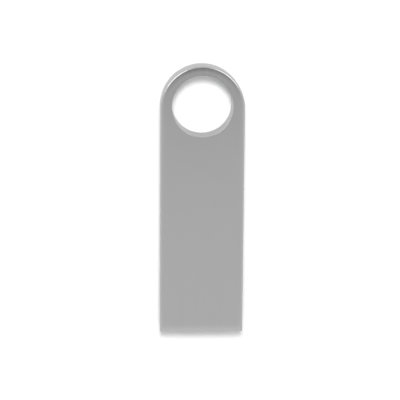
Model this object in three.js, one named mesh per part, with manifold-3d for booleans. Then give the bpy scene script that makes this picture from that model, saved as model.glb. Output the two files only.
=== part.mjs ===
// A USB flash drive with a one-piece metal body, a key-ring eye and a chip-on-board memory module inside.
//
// Millimetres, +Z up. The drive lies on its rear face, and the origin is the centre of that face.
// +Y points to the key-ring eye, -Y out of the plug mouth, and +Z out of the plain front face.
import * as THREE from "three";
import { mergeVertices } from "three/addons/utils/BufferGeometryUtils.js";
import Module from "manifold-3d";

const wasm = await Module();
wasm.setup();

// ---------------------------------------------------------------- driving dimensions

// The whole body has the section of a USB type A plug, so that it slides into a socket.
const body = { length: 39.0, width: 12.1, thickness: 4.5, wall: 0.35 };
const edgeRound = 0.28; // rounding of the long edges and of the end arc's edges
const mouthCorner = 0.15; // plan radius of the two corners at the plug mouth
const leadIn = { length: 1.3, drop: 0.09 }; // the faces ease down towards the mouth
const eye = { radius: 4.37, towardsEnd: 0.25, rim: 0.14 }; // key-ring hole, just off the end arc's centre
const cavity = { depth: 26.6, corner: 0.3, mouthChamfer: 0.1 };
const latchWindow = { width: 2.5, length: 2.0, fromMouth: 5.16, spacing: 5.12, corner: 0.2 };

const fitGap = 0.02; // between pieces that sit against each other
const slideGap = 0.05; // between the inner assembly and the metal
const overshoot = 1; // how far a cutter runs past the face that it opens
const joinDepth = 0.1; // how far an added feature runs into the piece that it grows from

const contactHeight = 2.2; // contact surface above the rear face
const contact = { thickness: 0.05, corner: 0.25, fromBoardFront: 0.8, pitchInner: 2.0, pitchOuter: 7.0 };
const powerContact = { width: 1.8, length: 8.0 };
const dataContact = { width: 1.1, length: 7.0 };
const board = { length: 24.6, width: 11.3, thickness: 0.5, fromMouth: 0.4, frontChamfer: 0.16 };
const notch = { radius: 0.55, postRadius: 0.5, fromMouldCap: 0.9 };
const mould = { length: 19.2, width: 10.4, depth: 0.8, fromBoardFront: 0.6, corner: 0.3, round: 0.06 };
const memoryDie = { width: 8.4, length: 11.2, thickness: 0.15, shelf: 0.5, fromMouldFront: 6.4 };
const controllerDie = { side: 2.4, thickness: 0.2, fromMouldFront: 2.6 };

const tray = { floor: 0.4, rail: 0.35, frontBar: 0.5, frontChamfer: 0.25, fromMouth: 0.25, backWall: 0.7 };
const springPocket = { depth: 0.25, margin: 0.1 };
const cover = { plate: 0.6, wall: 0.8, rib: 0.6, fromMouth: 12.2 };
const snap = { width: 2.8, height: 0.4, reach: 0.55, belowTop: 0.65, slotMargin: 0.08 };
const adhesive = { thickness: 0.05, width: 9.6, length: 14.0, fromCavityEnd: 1.0 };

// The small surface-mount parts stand in a grid under the board, behind the mould cap.
const chip = { width: 0.5, length: 1.0 };
const chipEnd = { length: 0.22, proud: 0.02 };
const chipGrid = { firstX: -0.2, stepX: 1.15, fromMouldCap: 1.0, stepY: 1.45 };
const capacitorHeight = 0.5;
const resistorHeight = 0.35;
const crystal = { x: -3.125, fromMouldCap: 3.0, width: 3.2, length: 2.5, corner: 0.15, base: 0.45 };
const crystalLid = { thickness: 0.22, inset: 0.18, corner: 0.2, round: 0.05 };

// ---------------------------------------------------------------- places worked out from them

const mouthY = -body.length / 2;
const halfWidth = body.width / 2;
const arcY = body.length / 2 - halfWidth; // centre of the end arc
const eyeY = arcY + eye.towardsEnd;
const cavityWidth = body.width - 2 * body.wall;
const cavityEndY = mouthY + cavity.depth;
const roofZ = body.thickness - body.wall;

const boardTopZ = contactHeight - contact.thickness;
const boardUnderZ = boardTopZ - board.thickness;
const boardFrontY = mouthY + board.fromMouth;
const boardBackY = boardFrontY + board.length;
const mouldFrontY = boardFrontY + mould.fromBoardFront;
const mouldBackY = mouldFrontY + mould.length;
const notchY = mouldBackY + notch.fromMouldCap;
const crystalY = mouldBackY + crystal.fromMouldCap;
const underBoardZ = boardUnderZ - fitGap; // top of every piece that hangs under the board

const trayUnderZ = body.wall + adhesive.thickness;
const trayFloorZ = trayUnderZ + tray.floor;
const trayHalfWidth = cavityWidth / 2 - slideGap;
const trayFrontY = mouthY + tray.fromMouth;
const trayBackY = cavityEndY - slideGap;
const railTopZ = underBoardZ;
const coverTopZ = roofZ - slideGap;
const coverBackY = trayBackY - tray.backWall - fitGap;
const windowY = mouthY + latchWindow.fromMouth + latchWindow.length / 2;

// ---------------------------------------------------------------- shapes

const arcSteps = { body: 48, eye: 72, corner: 4, round: 3, smallRound: 2, post: 20 };
const sameVertex = 1e-4; // vertices closer than this are one

function arc(x, y, radius, from, to, steps) {
  return Array.from({ length: steps + 1 }, (_, i) => {
    const angle = from + ((to - from) * i) / steps;
    return new THREE.Vector2(x + radius * Math.cos(angle), y + radius * Math.sin(angle));
  });
}

/** Outline of a rectangle with rounded corners, counter-clockwise. */
function roundedRectangle(x0, x1, y0, y1, radius) {
  const quarter = Math.PI / 2;
  const corners = [[x1, y0], [x1, y1], [x0, y1], [x0, y0]];
  return corners.flatMap(([x, y], i) => arc(
    x + (x === x1 ? -radius : radius),
    y + (y === y1 ? -radius : radius),
    radius, (i - 1) * quarter, i * quarter, arcSteps.corner,
  ));
}

/** Plan outline from frontY to a half-round end, with corners of radius r at the front. */
function planOutline(frontY, r) {
  const quarter = Math.PI / 2;
  return [
    ...arc(halfWidth - r, frontY + r, r, -quarter, 0, arcSteps.corner),
    ...arc(0, arcY, halfWidth, 0, Math.PI, arcSteps.body),
    ...arc(-halfWidth + r, frontY + r, r, Math.PI, 3 * quarter, arcSteps.corner),
  ];
}

/** Side view (Y, Z) of the body, easing down to the mouth on both faces. */
function leadInProfile() {
  const { length, drop } = leadIn;
  const radius = (length * length + drop * drop) / (2 * drop);
  const sweep = Math.asin(length / radius);
  const up = Math.PI / 2;
  const start = mouthY + length;
  const beyondEnd = body.length / 2 + overshoot;
  return [
    ...arc(start, radius, radius, -up - sweep, -up, arcSteps.corner),
    new THREE.Vector2(beyondEnd, 0),
    new THREE.Vector2(beyondEnd, body.thickness),
    ...arc(start, body.thickness - radius, radius, up, up + sweep, arcSteps.corner),
  ];
}

// ---------------------------------------------------------------- solids

/** A closed three.js geometry as a solid that can be joined and cut. */
function solidOf(geometry) {
  geometry.deleteAttribute("normal");
  geometry.deleteAttribute("uv");
  const merged = mergeVertices(geometry, sameVertex);
  return new wasm.Manifold(new wasm.Mesh({
    numProp: 3,
    vertProperties: merged.attributes.position.array,
    triVerts: new Uint32Array(merged.index.array),
  }));
}

function geometryOf(solid) {
  const { vertProperties, triVerts } = solid.getMesh();
  const geometry = new THREE.BufferGeometry();
  geometry.setAttribute("position", new THREE.BufferAttribute(vertProperties, 3));
  geometry.setIndex(new THREE.BufferAttribute(triVerts, 1));
  geometry.computeVertexNormals();
  return geometry;
}

function block(x0, x1, y0, y1, z0, z1) {
  const geometry = new THREE.BoxGeometry(x1 - x0, y1 - y0, z1 - z0);
  return solidOf(geometry.translate((x0 + x1) / 2, (y0 + y1) / 2, (z0 + z1) / 2));
}

/** A block centred on x = 0. */
const centredBlock = (width, y0, y1, z0, z1) => block(-width / 2, width / 2, y0, y1, z0, z1);

/** A plate between z0 and z1, its top and bottom edges rounded off inside the outline. */
function plate(outline, z0, z1, { round = 0, steps = arcSteps.round } = {}) {
  const geometry = new THREE.ExtrudeGeometry(new THREE.Shape(outline), {
    depth: z1 - z0 - 2 * round,
    bevelEnabled: round > 0,
    bevelThickness: round,
    bevelSize: round,
    bevelOffset: -round,
    bevelSegments: steps,
  });
  return solidOf(geometry.translate(0, 0, z0 + round));
}

/** A (Y, Z) profile extruded across the drive. */
function acrossBody(profile, width) {
  const geometry = new THREE.ExtrudeGeometry(new THREE.Shape(profile), { depth: width, bevelEnabled: false });
  geometry.translate(0, 0, -width / 2);
  const yzToWorld = new THREE.Matrix4().set(0, 0, 1, 0, 1, 0, 0, 0, 0, 1, 0, 0, 0, 0, 0, 1);
  return solidOf(geometry.applyMatrix4(yzToWorld));
}

/** An (X, Z) outline extruded from y0 to y1. It is wider by flare all along, and eases in at its two ends. */
function alongBody(outline, y0, y1, flare = 0) {
  const geometry = new THREE.ExtrudeGeometry(new THREE.Shape(outline), {
    depth: y1 - y0 - 2 * flare,
    bevelEnabled: flare > 0,
    bevelThickness: flare,
    bevelSize: flare,
    bevelSegments: 1,
  });
  return solidOf(geometry.rotateX(Math.PI / 2).translate(0, y1 - flare, 0));
}

const post = (x, y, z0, z1, radius) =>
  plate(arc(x, y, radius, 0, 2 * Math.PI, arcSteps.post).slice(1), z0, z1);

const mirroredX = (make) => make(-1).add(make(1));

// ---------------------------------------------------------------- metal body

/** One zinc casting: front and rear faces, side walls, key-ring eye and plug shell. */
function makeHousing() {
  const longOutline = planOutline(mouthY - overshoot, overshoot);
  const section = roundedRectangle(-cavityWidth / 2, cavityWidth / 2, body.wall, roofZ, cavity.corner);
  return plate(longOutline, 0, body.thickness, { round: edgeRound })
    .intersect(plate(planOutline(mouthY, mouthCorner), 0, body.thickness))
    .intersect(acrossBody(leadInProfile(), body.width + 2 * overshoot))
    .subtract(makeEyeCutter())
    .subtract(alongBody(section, mouthY - overshoot, cavityEndY))
    .subtract(alongBody(section, mouthY - overshoot, mouthY + cavity.mouthChamfer, cavity.mouthChamfer))
    .subtract(makeLatchWindows());
}

/** What the key-ring eye takes out: a cylinder that flares at both faces, which rounds the eye's rims. */
function makeEyeCutter() {
  const { radius, rim } = eye;
  const quarter = Math.PI / 2;
  const lowRim = arc(radius + rim, rim, rim, -quarter, -2 * quarter, arcSteps.round);
  const highRim = arc(radius + rim, body.thickness - rim, rim, 2 * quarter, quarter, arcSteps.round);
  const profile = [
    new THREE.Vector2(0, -overshoot),
    new THREE.Vector2(radius + rim, -overshoot),
    ...lowRim,
    ...highRim,
    new THREE.Vector2(radius + rim, body.thickness + overshoot),
    new THREE.Vector2(0, body.thickness + overshoot),
  ];
  const geometry = new THREE.LatheGeometry(profile, arcSteps.eye);
  return solidOf(geometry.rotateX(quarter).translate(0, eyeY, 0));
}

/** The two openings in the rear face that the socket's springs drop into. */
function makeLatchWindows() {
  const { width, spacing, corner } = latchWindow;
  const y0 = windowY - latchWindow.length / 2;
  return mirroredX((side) => {
    const x = (side * spacing) / 2;
    const outline = roundedRectangle(x - width / 2, x + width / 2, y0, y0 + latchWindow.length, corner);
    return plate(outline, -overshoot, body.wall + overshoot);
  });
}

// ---------------------------------------------------------------- plastic carrier

/** The cavity's own section, a sliding fit smaller all round, which bounds the tray and the cover. */
function carrierEnvelope() {
  const section = roundedRectangle(
    -trayHalfWidth, trayHalfWidth, trayUnderZ, coverTopZ, cavity.corner - slideGap,
  );
  return alongBody(section, mouthY, trayBackY);
}

/** Tray under the module: floor, side rails, front bar, back wall and the posts that locate the board. */
function makeTray() {
  const width = 2 * trayHalfWidth;
  const railInnerX = trayHalfWidth - tray.rail;
  const backWallY = trayBackY - tray.backWall;
  const floor = centredBlock(width, trayFrontY, trayBackY, trayUnderZ, trayFloorZ);
  const frontBar = centredBlock(width, trayFrontY, trayFrontY + tray.frontBar, trayUnderZ, railTopZ);
  const backWall = centredBlock(width, backWallY, trayBackY, trayUnderZ, coverTopZ);
  const rails = mirroredX((side) => block(
    ...[side * railInnerX, side * trayHalfWidth].sort((a, b) => a - b),
    trayFrontY, trayBackY, trayUnderZ, railTopZ,
  ));
  const posts = mirroredX((side) =>
    post(side * trayHalfWidth, notchY, trayUnderZ, boardTopZ, notch.postRadius));
  return floor
    .add(frontBar)
    .add(rails)
    .add(posts)
    .add(backWall)
    .intersect(carrierEnvelope())
    .subtract(makeSnapSlot())
    .subtract(makeSpringPockets())
    .subtract(makeTrayFrontChamfer());
}

/** Room behind each latch window for the tip of the socket's spring. */
function makeSpringPockets() {
  const { width, length, spacing } = latchWindow;
  const { depth, margin } = springPocket;
  return mirroredX((side) => {
    const x = (side * spacing) / 2;
    const reachX = width / 2 + margin;
    const reachY = length / 2 + margin;
    return block(x - reachX, x + reachX, windowY - reachY, windowY + reachY, 0, trayUnderZ + depth);
  });
}

/** The slot in the tray's back wall that the cover's tongue snaps into. */
function makeSnapSlot() {
  const { width, height, belowTop, slotMargin } = snap;
  const top = coverTopZ - belowTop + slotMargin;
  const y0 = trayBackY - tray.backWall - overshoot;
  return centredBlock(width + 2 * slotMargin, y0, trayBackY + overshoot, top - height - 2 * slotMargin, top);
}

/** A slope on the lower front edge, so that the tray clears the rounded mouth. */
function makeTrayFrontChamfer() {
  const beyond = tray.frontChamfer + overshoot;
  return acrossBody([
    new THREE.Vector2(trayFrontY - overshoot, trayUnderZ - overshoot),
    new THREE.Vector2(trayFrontY + beyond, trayUnderZ - overshoot),
    new THREE.Vector2(trayFrontY - overshoot, trayUnderZ + beyond),
  ], body.width);
}

/** Cover over the back of the board. It fills the body behind the plug cavity and holds the board down. */
function makeCover() {
  const frontY = mouthY + cover.fromMouth;
  const underZ = boardTopZ + fitGap;
  const width = 2 * trayHalfWidth;
  const outside = centredBlock(width, frontY, coverBackY, underZ, coverTopZ);
  const inside = centredBlock(
    width - 2 * cover.wall, frontY + cover.wall, coverBackY - cover.wall,
    underZ - overshoot, coverTopZ - cover.plate,
  );
  const ribY = (frontY + coverBackY - cover.rib) / 2;
  const rib = centredBlock(width - cover.wall, ribY, ribY + cover.rib, underZ, coverTopZ);
  const tongueTopZ = coverTopZ - snap.belowTop;
  const tongue = centredBlock(
    snap.width, coverBackY - joinDepth, coverBackY + snap.reach, tongueTopZ - snap.height, tongueTopZ,
  );
  return outside.subtract(inside).add(rib).intersect(carrierEnvelope()).add(tongue);
}

/** Thin film that bonds the tray to the inside of the rear wall. */
function makeAdhesive() {
  const backY = cavityEndY - adhesive.fromCavityEnd;
  return centredBlock(adhesive.width, backY - adhesive.length, backY, body.wall, trayUnderZ);
}

// ---------------------------------------------------------------- memory module

/** Laminate board with a chamfered front edge and two half-round locating notches. */
function makeBoard() {
  const slope = board.frontChamfer;
  const profile = [
    new THREE.Vector2(boardFrontY, boardUnderZ),
    new THREE.Vector2(boardBackY, boardUnderZ),
    new THREE.Vector2(boardBackY, boardTopZ),
    new THREE.Vector2(boardFrontY + slope, boardTopZ),
    new THREE.Vector2(boardFrontY, boardTopZ - slope),
  ];
  const notches = mirroredX((side) =>
    post((side * board.width) / 2, notchY, 0, body.thickness, notch.radius));
  return acrossBody(profile, board.width).subtract(notches);
}

/** A gold contact pad on the board, with rounded corners. */
function makeContact(x, { width, length }, setback) {
  const frontY = boardFrontY + contact.fromBoardFront + setback;
  const outline = roundedRectangle(x - width / 2, x + width / 2, frontY, frontY + length, contact.corner);
  return plate(outline, boardTopZ, contactHeight);
}

/** Where each bare die sits under the board, as [x0, x1, y0, y1, z0, z1]. */
function dieBoxes() {
  const { width, length, thickness, shelf, fromMouldFront } = memoryDie;
  const frontY = mouldFrontY + fromMouldFront;
  const memory = (layer) => {
    const y = frontY + layer * shelf;
    const z = underBoardZ - layer * (thickness + fitGap);
    return [-width / 2, width / 2, y, y + length, z - thickness, z];
  };
  const { side } = controllerDie;
  const controllerY = mouldFrontY + controllerDie.fromMouldFront;
  const controllerZ = underBoardZ - controllerDie.thickness;
  return {
    controller_die: [-side / 2, side / 2, controllerY, controllerY + side, controllerZ, underBoardZ],
    memory_die_upper: memory(0),
    memory_die_lower: memory(1),
  };
}

/** Black epoxy moulded over the dies. Its pockets open towards the board. */
function makeMouldCap() {
  const underZ = boardUnderZ - mould.depth;
  const halfWide = mould.width / 2;
  const outline = roundedRectangle(-halfWide, halfWide, mouldFrontY, mouldBackY, mould.corner);
  const pockets = Object.values(dieBoxes()).map(([x0, x1, y0, y1, z0]) =>
    block(x0 - fitGap, x1 + fitGap, y0 - fitGap, y1 + fitGap, z0 - fitGap, boardUnderZ + overshoot));
  return pockets.reduce(
    (cap, pocket) => cap.subtract(pocket),
    plate(outline, underZ, boardUnderZ, { round: mould.round, steps: arcSteps.smallRound }),
  );
}

/** A two-terminal chip under the board: a ceramic body between two slightly thicker metal ends. */
function makeChip(x, y, height) {
  const halfWide = chip.width / 2;
  const halfLong = chip.length / 2;
  const underZ = underBoardZ - height;
  const { length, proud } = chipEnd;
  const ceramic = block(
    x - halfWide + proud, x + halfWide - proud, y - halfLong, y + halfLong,
    underZ + proud, underBoardZ - proud,
  );
  const end = (y0) => block(x - halfWide, x + halfWide, y0, y0 + length, underZ, underBoardZ);
  return ceramic.add(end(y - halfLong)).add(end(y + halfLong - length));
}

/** Outline of the crystal's package, or of its lid, which stands in from it by inset. */
function crystalOutline(inset, corner) {
  const halfWide = crystal.width / 2 - inset;
  const halfLong = crystal.length / 2 - inset;
  return roundedRectangle(
    crystal.x - halfWide, crystal.x + halfWide, crystalY - halfLong, crystalY + halfLong, corner,
  );
}

function makeCrystalBase() {
  return plate(crystalOutline(0, crystal.corner), underBoardZ - crystal.base, underBoardZ);
}

function makeCrystalLid() {
  const { thickness, inset, corner, round } = crystalLid;
  const top = underBoardZ - crystal.base;
  return plate(crystalOutline(inset, corner), top - thickness, top, { round, steps: arcSteps.smallRound });
}

// ---------------------------------------------------------------- materials

const material = (color, roughness, metalness) =>
  new THREE.MeshStandardMaterial({ color, roughness, metalness });
const satinMetal = material(0xa6a6a6, 0.32, 1.0);
const blackPlastic = material(0x17181a, 0.55, 0.0);
const clearFilm = material(0xd9d2bd, 0.4, 0.0);
const solderMask = material(0x14301f, 0.4, 0.0);
const gold = material(0xd9a441, 0.25, 1.0);
const epoxy = material(0x101011, 0.6, 0.0);
const silicon = material(0x4a4d55, 0.2, 0.6);
const whiteCeramic = material(0xb9b19f, 0.6, 0.0);
const capacitorCeramic = material(0x8a6a45, 0.5, 0.0);
const resistorGlaze = material(0x1b1b1d, 0.35, 0.0);
const ferrite = material(0x3c3a3c, 0.6, 0.0);
const fuseGreen = material(0x2e5a3a, 0.45, 0.0);
const nickelLid = material(0xb7b5ad, 0.25, 1.0);

// ---------------------------------------------------------------- assembly

const drive = new THREE.Group();
drive.name = "usb_flash_drive";

function addPiece(group, name, solid, finish) {
  const mesh = new THREE.Mesh(geometryOf(solid), finish);
  mesh.name = name;
  group.add(mesh);
}

addPiece(drive, "housing", makeHousing(), satinMetal);

const carrier = new THREE.Group();
addPiece(carrier, "carrier_tray", makeTray(), blackPlastic);
addPiece(carrier, "module_cover", makeCover(), blackPlastic);
addPiece(carrier, "adhesive_film", makeAdhesive(), clearFilm);

const memoryModule = new THREE.Group();
addPiece(memoryModule, "circuit_board", makeBoard(), solderMask);
addPiece(memoryModule, "mould_cap", makeMouldCap(), epoxy);
for (const [name, box] of Object.entries(dieBoxes())) addPiece(memoryModule, name, block(...box), silicon);

// Power contacts reach further forward than data contacts, so that power joins first.
const dataSetback = powerContact.length - dataContact.length;
const outerX = contact.pitchOuter / 2;
const innerX = contact.pitchInner / 2;
addPiece(memoryModule, "power_contact", makeContact(outerX, powerContact, 0), gold);
addPiece(memoryModule, "data_minus_contact", makeContact(innerX, dataContact, dataSetback), gold);
addPiece(memoryModule, "data_plus_contact", makeContact(-innerX, dataContact, dataSetback), gold);
addPiece(memoryModule, "ground_contact", makeContact(-outerX, powerContact, 0), gold);

addPiece(memoryModule, "crystal_base", makeCrystalBase(), whiteCeramic);
addPiece(memoryModule, "crystal_lid", makeCrystalLid(), nickelLid);

const chips = [
  ["supply_capacitor", 0, 0, capacitorHeight, capacitorCeramic],
  ["core_capacitor", 1, 0, capacitorHeight, capacitorCeramic],
  ["memory_capacitor", 2, 0, capacitorHeight, capacitorCeramic],
  ["crystal_capacitor_left", 0, 1, capacitorHeight, capacitorCeramic],
  ["crystal_capacitor_right", 0, 2, capacitorHeight, capacitorCeramic],
  ["data_minus_resistor", 1, 1, resistorHeight, resistorGlaze],
  ["data_plus_resistor", 2, 1, resistorHeight, resistorGlaze],
  ["reset_resistor", 3, 1, resistorHeight, resistorGlaze],
  ["ferrite_bead", 1, 2, capacitorHeight, ferrite],
  ["resettable_fuse", 2, 2, capacitorHeight, fuseGreen],
];
for (const [name, column, row, height, finish] of chips) {
  const x = chipGrid.firstX + column * chipGrid.stepX;
  const y = mouldBackY + chipGrid.fromMouldCap + row * chipGrid.stepY;
  addPiece(memoryModule, name, makeChip(x, y, height), finish);
}

drive.add(carrier, memoryModule);

export default drive;
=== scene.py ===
"""The looks of a metal USB flash drive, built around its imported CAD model.

Shapes are written in millimetres in the drive's own frame. It lies on its rear face, +Y points to the
key-ring eye, -Y out of the plug mouth and +Z out of the front face.
"""
import math

import bmesh
import bpy
from mathutils import Matrix, Vector


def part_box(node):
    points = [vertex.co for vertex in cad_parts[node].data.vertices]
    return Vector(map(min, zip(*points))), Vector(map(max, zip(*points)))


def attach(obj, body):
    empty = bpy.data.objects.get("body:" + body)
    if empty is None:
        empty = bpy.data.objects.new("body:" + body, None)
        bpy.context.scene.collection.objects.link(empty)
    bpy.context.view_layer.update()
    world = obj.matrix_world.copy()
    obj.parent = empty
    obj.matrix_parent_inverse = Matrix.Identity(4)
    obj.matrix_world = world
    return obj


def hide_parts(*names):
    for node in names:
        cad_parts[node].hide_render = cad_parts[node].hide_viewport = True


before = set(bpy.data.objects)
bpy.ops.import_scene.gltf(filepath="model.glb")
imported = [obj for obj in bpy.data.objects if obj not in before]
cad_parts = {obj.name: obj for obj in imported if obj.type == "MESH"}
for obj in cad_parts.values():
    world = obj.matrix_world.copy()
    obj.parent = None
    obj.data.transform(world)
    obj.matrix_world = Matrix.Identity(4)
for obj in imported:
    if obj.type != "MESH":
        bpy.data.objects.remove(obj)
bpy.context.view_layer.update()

MM = 0.001  # one millimetre in Blender's units
QUARTER = math.pi / 2

# ---------------------------------------------------------------- sizes that the CAD boxes don't give

EDGE_ROUND = 0.28  # rounding of the long edges and of the end arc's edges
CROWN_WIDTH = 0.5  # border over which polishing has eased the faces down to their rounded edges
CROWN_SLOPE = math.radians(4.8)  # tilt at which that border meets the rounding
MOUTH_CORNER = 0.08  # plan radius of the two corners at the mouth
MOUTH_LIP = 0.09  # rounding of the mouth's outer edge
LEAD_IN_LENGTH = 1.3  # the faces ease down over this length towards the mouth
LEAD_IN_DROP = 0.09  # how far each has eased down at the mouth
EYE_RADIUS = 4.37
EYE_RIM = 0.05  # rounding of the eye's edges
EYE_TOWARDS_END = 0.25  # from the end arc's centre to the eye's
WALL = 0.35
CAVITY_CORNER = 0.3
CAVITY_CHAMFER = 0.1
TRAY_GAP = 0.05  # between the tray and the end of the cavity
WINDOW_SIZE = (2.5, 2.0)  # of a latch window, across and along the drive
WINDOW_CORNER = 0.2
WINDOW_RIM = 0.05
WINDOW_X = 2.56  # from the drive's middle to a window's
WINDOW_FROM_MOUTH = 6.16


def cad_box(node):
    """Lowest and highest corners of a CAD node, in millimetres."""
    low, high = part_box(node)
    return low / MM, high / MM


body_low, body_high = cad_box("housing")
HALF_WIDTH = body_high.x
THICKNESS = body_high.z
MOUTH_Y = body_low.y
ARC_Y = body_high.y - HALF_WIDTH
EYE_Y = ARC_Y + EYE_TOWARDS_END
CAVITY_END_Y = cad_box("carrier_tray")[1].y + TRAY_GAP


# ---------------------------------------------------------------- mesh tools


class Shape:
    """Points and faces, in millimetres, gathered row by row and then made into one object."""

    def __init__(self):
        self.points = []
        self.faces = []

    def row(self, points):
        """Adds points and returns their numbers."""
        first = len(self.points)
        self.points.extend(points)
        return list(range(first, len(self.points)))

    def cap(self, row):
        """One face whose corners are a row's points."""
        self.faces.append(tuple(row))

    def strip(self, a, b, closed=False):
        """Quads between two rows of the same length."""
        pairs = list(zip(a, b))
        following = pairs[1:] + (pairs[:1] if closed else [])
        for (a0, b0), (a1, b1) in zip(pairs, following):
            self.faces.append((a0, a1, b1, b0))

    def rings(self, rings):
        """Quads between each closed ring and the next."""
        for a, b in zip(rings, rings[1:]):
            self.strip(a, b, closed=True)

    def stack(self, levels, outline):
        """A closed solid from (inset, z) levels, where outline(inset) gives each level's plan outline."""
        rings = [self.row([(x, y, z) for x, y in outline(inset)]) for inset, z in levels]
        self.rings(rings)
        self.cap(rings[0])
        self.cap(rings[-1])

    def slab(self, low, high, corner, rim):
        """A closed slab between two corners, with rounded plan corners and rounded edges."""
        levels = rimmed_levels(low[2], high[2], rim)
        self.stack(levels, lambda inset: inset_rectangle(low, high, corner, inset))

    def disc(self, x, y, radius, z0, z1, rim=0.005):
        """A closed round disc with rounded edges."""
        self.stack(rimmed_levels(z0, z1, rim), lambda inset: circle_outline(x, y, radius - inset))

    def ribbon(self, path, width, z0, z1):
        """A closed flat strip of constant width along a path in plan, with mitred corners."""
        lefts, rights = [], []
        for i, point in enumerate(path):
            before = Vector(path[max(i - 1, 0)])
            after = Vector(path[min(i + 1, len(path) - 1)])
            here = Vector(point)
            arrive = (here - before).normalized() if i else (after - here).normalized()
            leave = (after - here).normalized() if i < len(path) - 1 else arrive
            across = Vector((-arrive.y - leave.y, arrive.x + leave.x)).normalized()
            reach = width / 2 / max(across.dot(Vector((-arrive.y, arrive.x))), MITRE_LIMIT)
            lefts.append(here + across * reach)
            rights.append(here - across * reach)
        sides = [[(p.x, p.y, z) for p in line] for z in (z0, z1) for line in (lefts, rights)]
        low_left, low_right, high_left, high_right = [self.row(points) for points in sides]
        loop = [low_left, low_right, high_right, high_left]
        for a, b in zip(loop, loop[1:] + loop[:1]):
            self.strip(a, b)
        for end in (0, -1):
            self.cap([row[end] for row in loop])

    def build(self, name):
        """The finished object, its faces turned outwards."""
        mesh = bpy.data.meshes.new(name)
        mesh.from_pydata([Vector(p) * MM for p in self.points], [], self.faces)
        edit = bmesh.new()
        edit.from_mesh(mesh)
        bmesh.ops.recalc_face_normals(edit, faces=edit.faces)
        edit.to_mesh(mesh)
        edit.free()
        obj = bpy.data.objects.new(name, mesh)
        bpy.context.scene.collection.objects.link(obj)
        return obj


CORNER_STEPS = 6
CIRCLE_STEPS = 32
SMALLEST_CORNER = 0.004
MITRE_LIMIT = 0.5  # a ribbon is widened by at most one over this at a bend


def rounded_outline(low, high, corner):
    """Plan outline of a rectangle with rounded corners, counter-clockwise."""
    centres = [
        (high[0] - corner, low[1] + corner),
        (high[0] - corner, high[1] - corner),
        (low[0] + corner, high[1] - corner),
        (low[0] + corner, low[1] + corner),
    ]
    points = []
    for i, (x, y) in enumerate(centres):
        for k in range(CORNER_STEPS + 1):
            angle = (i - 1 + k / CORNER_STEPS) * QUARTER
            points.append((x + corner * math.cos(angle), y + corner * math.sin(angle)))
    return points


def inset_rectangle(low, high, corner, inset):
    """Outline of a rounded rectangle that has shrunk by inset."""
    shrunk_low = (low[0] + inset, low[1] + inset)
    shrunk_high = (high[0] - inset, high[1] - inset)
    return rounded_outline(shrunk_low, shrunk_high, max(corner - inset, SMALLEST_CORNER))


def circle_outline(x, y, radius):
    """Plan outline of a circle, counter-clockwise."""
    angles = [2 * math.pi * k / CIRCLE_STEPS for k in range(CIRCLE_STEPS)]
    return [(x + radius * math.cos(a), y + radius * math.sin(a)) for a in angles]


def rim_profile(rim, steps=4):
    """(inset, rise) pairs of a quarter round that starts at its full inset and ends upright."""
    angles = [QUARTER * k / steps for k in range(steps + 1)]
    return [(rim * (1 - math.sin(a)), rim * (1 - math.cos(a))) for a in angles]


def rimmed_levels(z0, z1, rim):
    """(inset, z) pairs up the side of a solid with rounded edges."""
    profile = rim_profile(rim)
    low = [(inset, z0 + rise) for inset, rise in profile]
    high = [(inset, z1 - rise) for inset, rise in reversed(profile)]
    return low + high


def applied(obj):
    """Replaces an object's mesh with the result of its modifiers."""
    graph = bpy.context.evaluated_depsgraph_get()
    mesh = bpy.data.meshes.new_from_object(obj.evaluated_get(graph), depsgraph=graph)
    obj.modifiers.clear()
    obj.data = mesh


def smooth(obj, angle=32, keep_flat=True):
    """Shades smooth, with sharp edges past an angle in degrees, and large faces kept flat."""
    obj.data.shade_smooth()
    obj.data.set_sharp_from_angle(angle=math.radians(angle))
    if keep_flat:
        obj.data.transform(Matrix.Scale(1 / MM, 4))  # in metres the faces are too small for the modifier
        weighted = obj.modifiers.new("flat_faces", "WEIGHTED_NORMAL")
        weighted.keep_sharp = True
        weighted.weight = 100
        applied(obj)
        obj.data.transform(Matrix.Scale(MM, 4))
    return obj


def cut(obj, *cutters):
    """Takes the cutters out of an object, and removes them."""
    for cutter in cutters:
        boolean = obj.modifiers.new("cut", "BOOLEAN")
        boolean.operation = "DIFFERENCE"
        boolean.solver = "EXACT"
        boolean.object = cutter
    bpy.context.view_layer.update()
    applied(obj)
    for cutter in cutters:
        bpy.data.objects.remove(cutter)
    return obj


# ---------------------------------------------------------------- node materials


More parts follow.
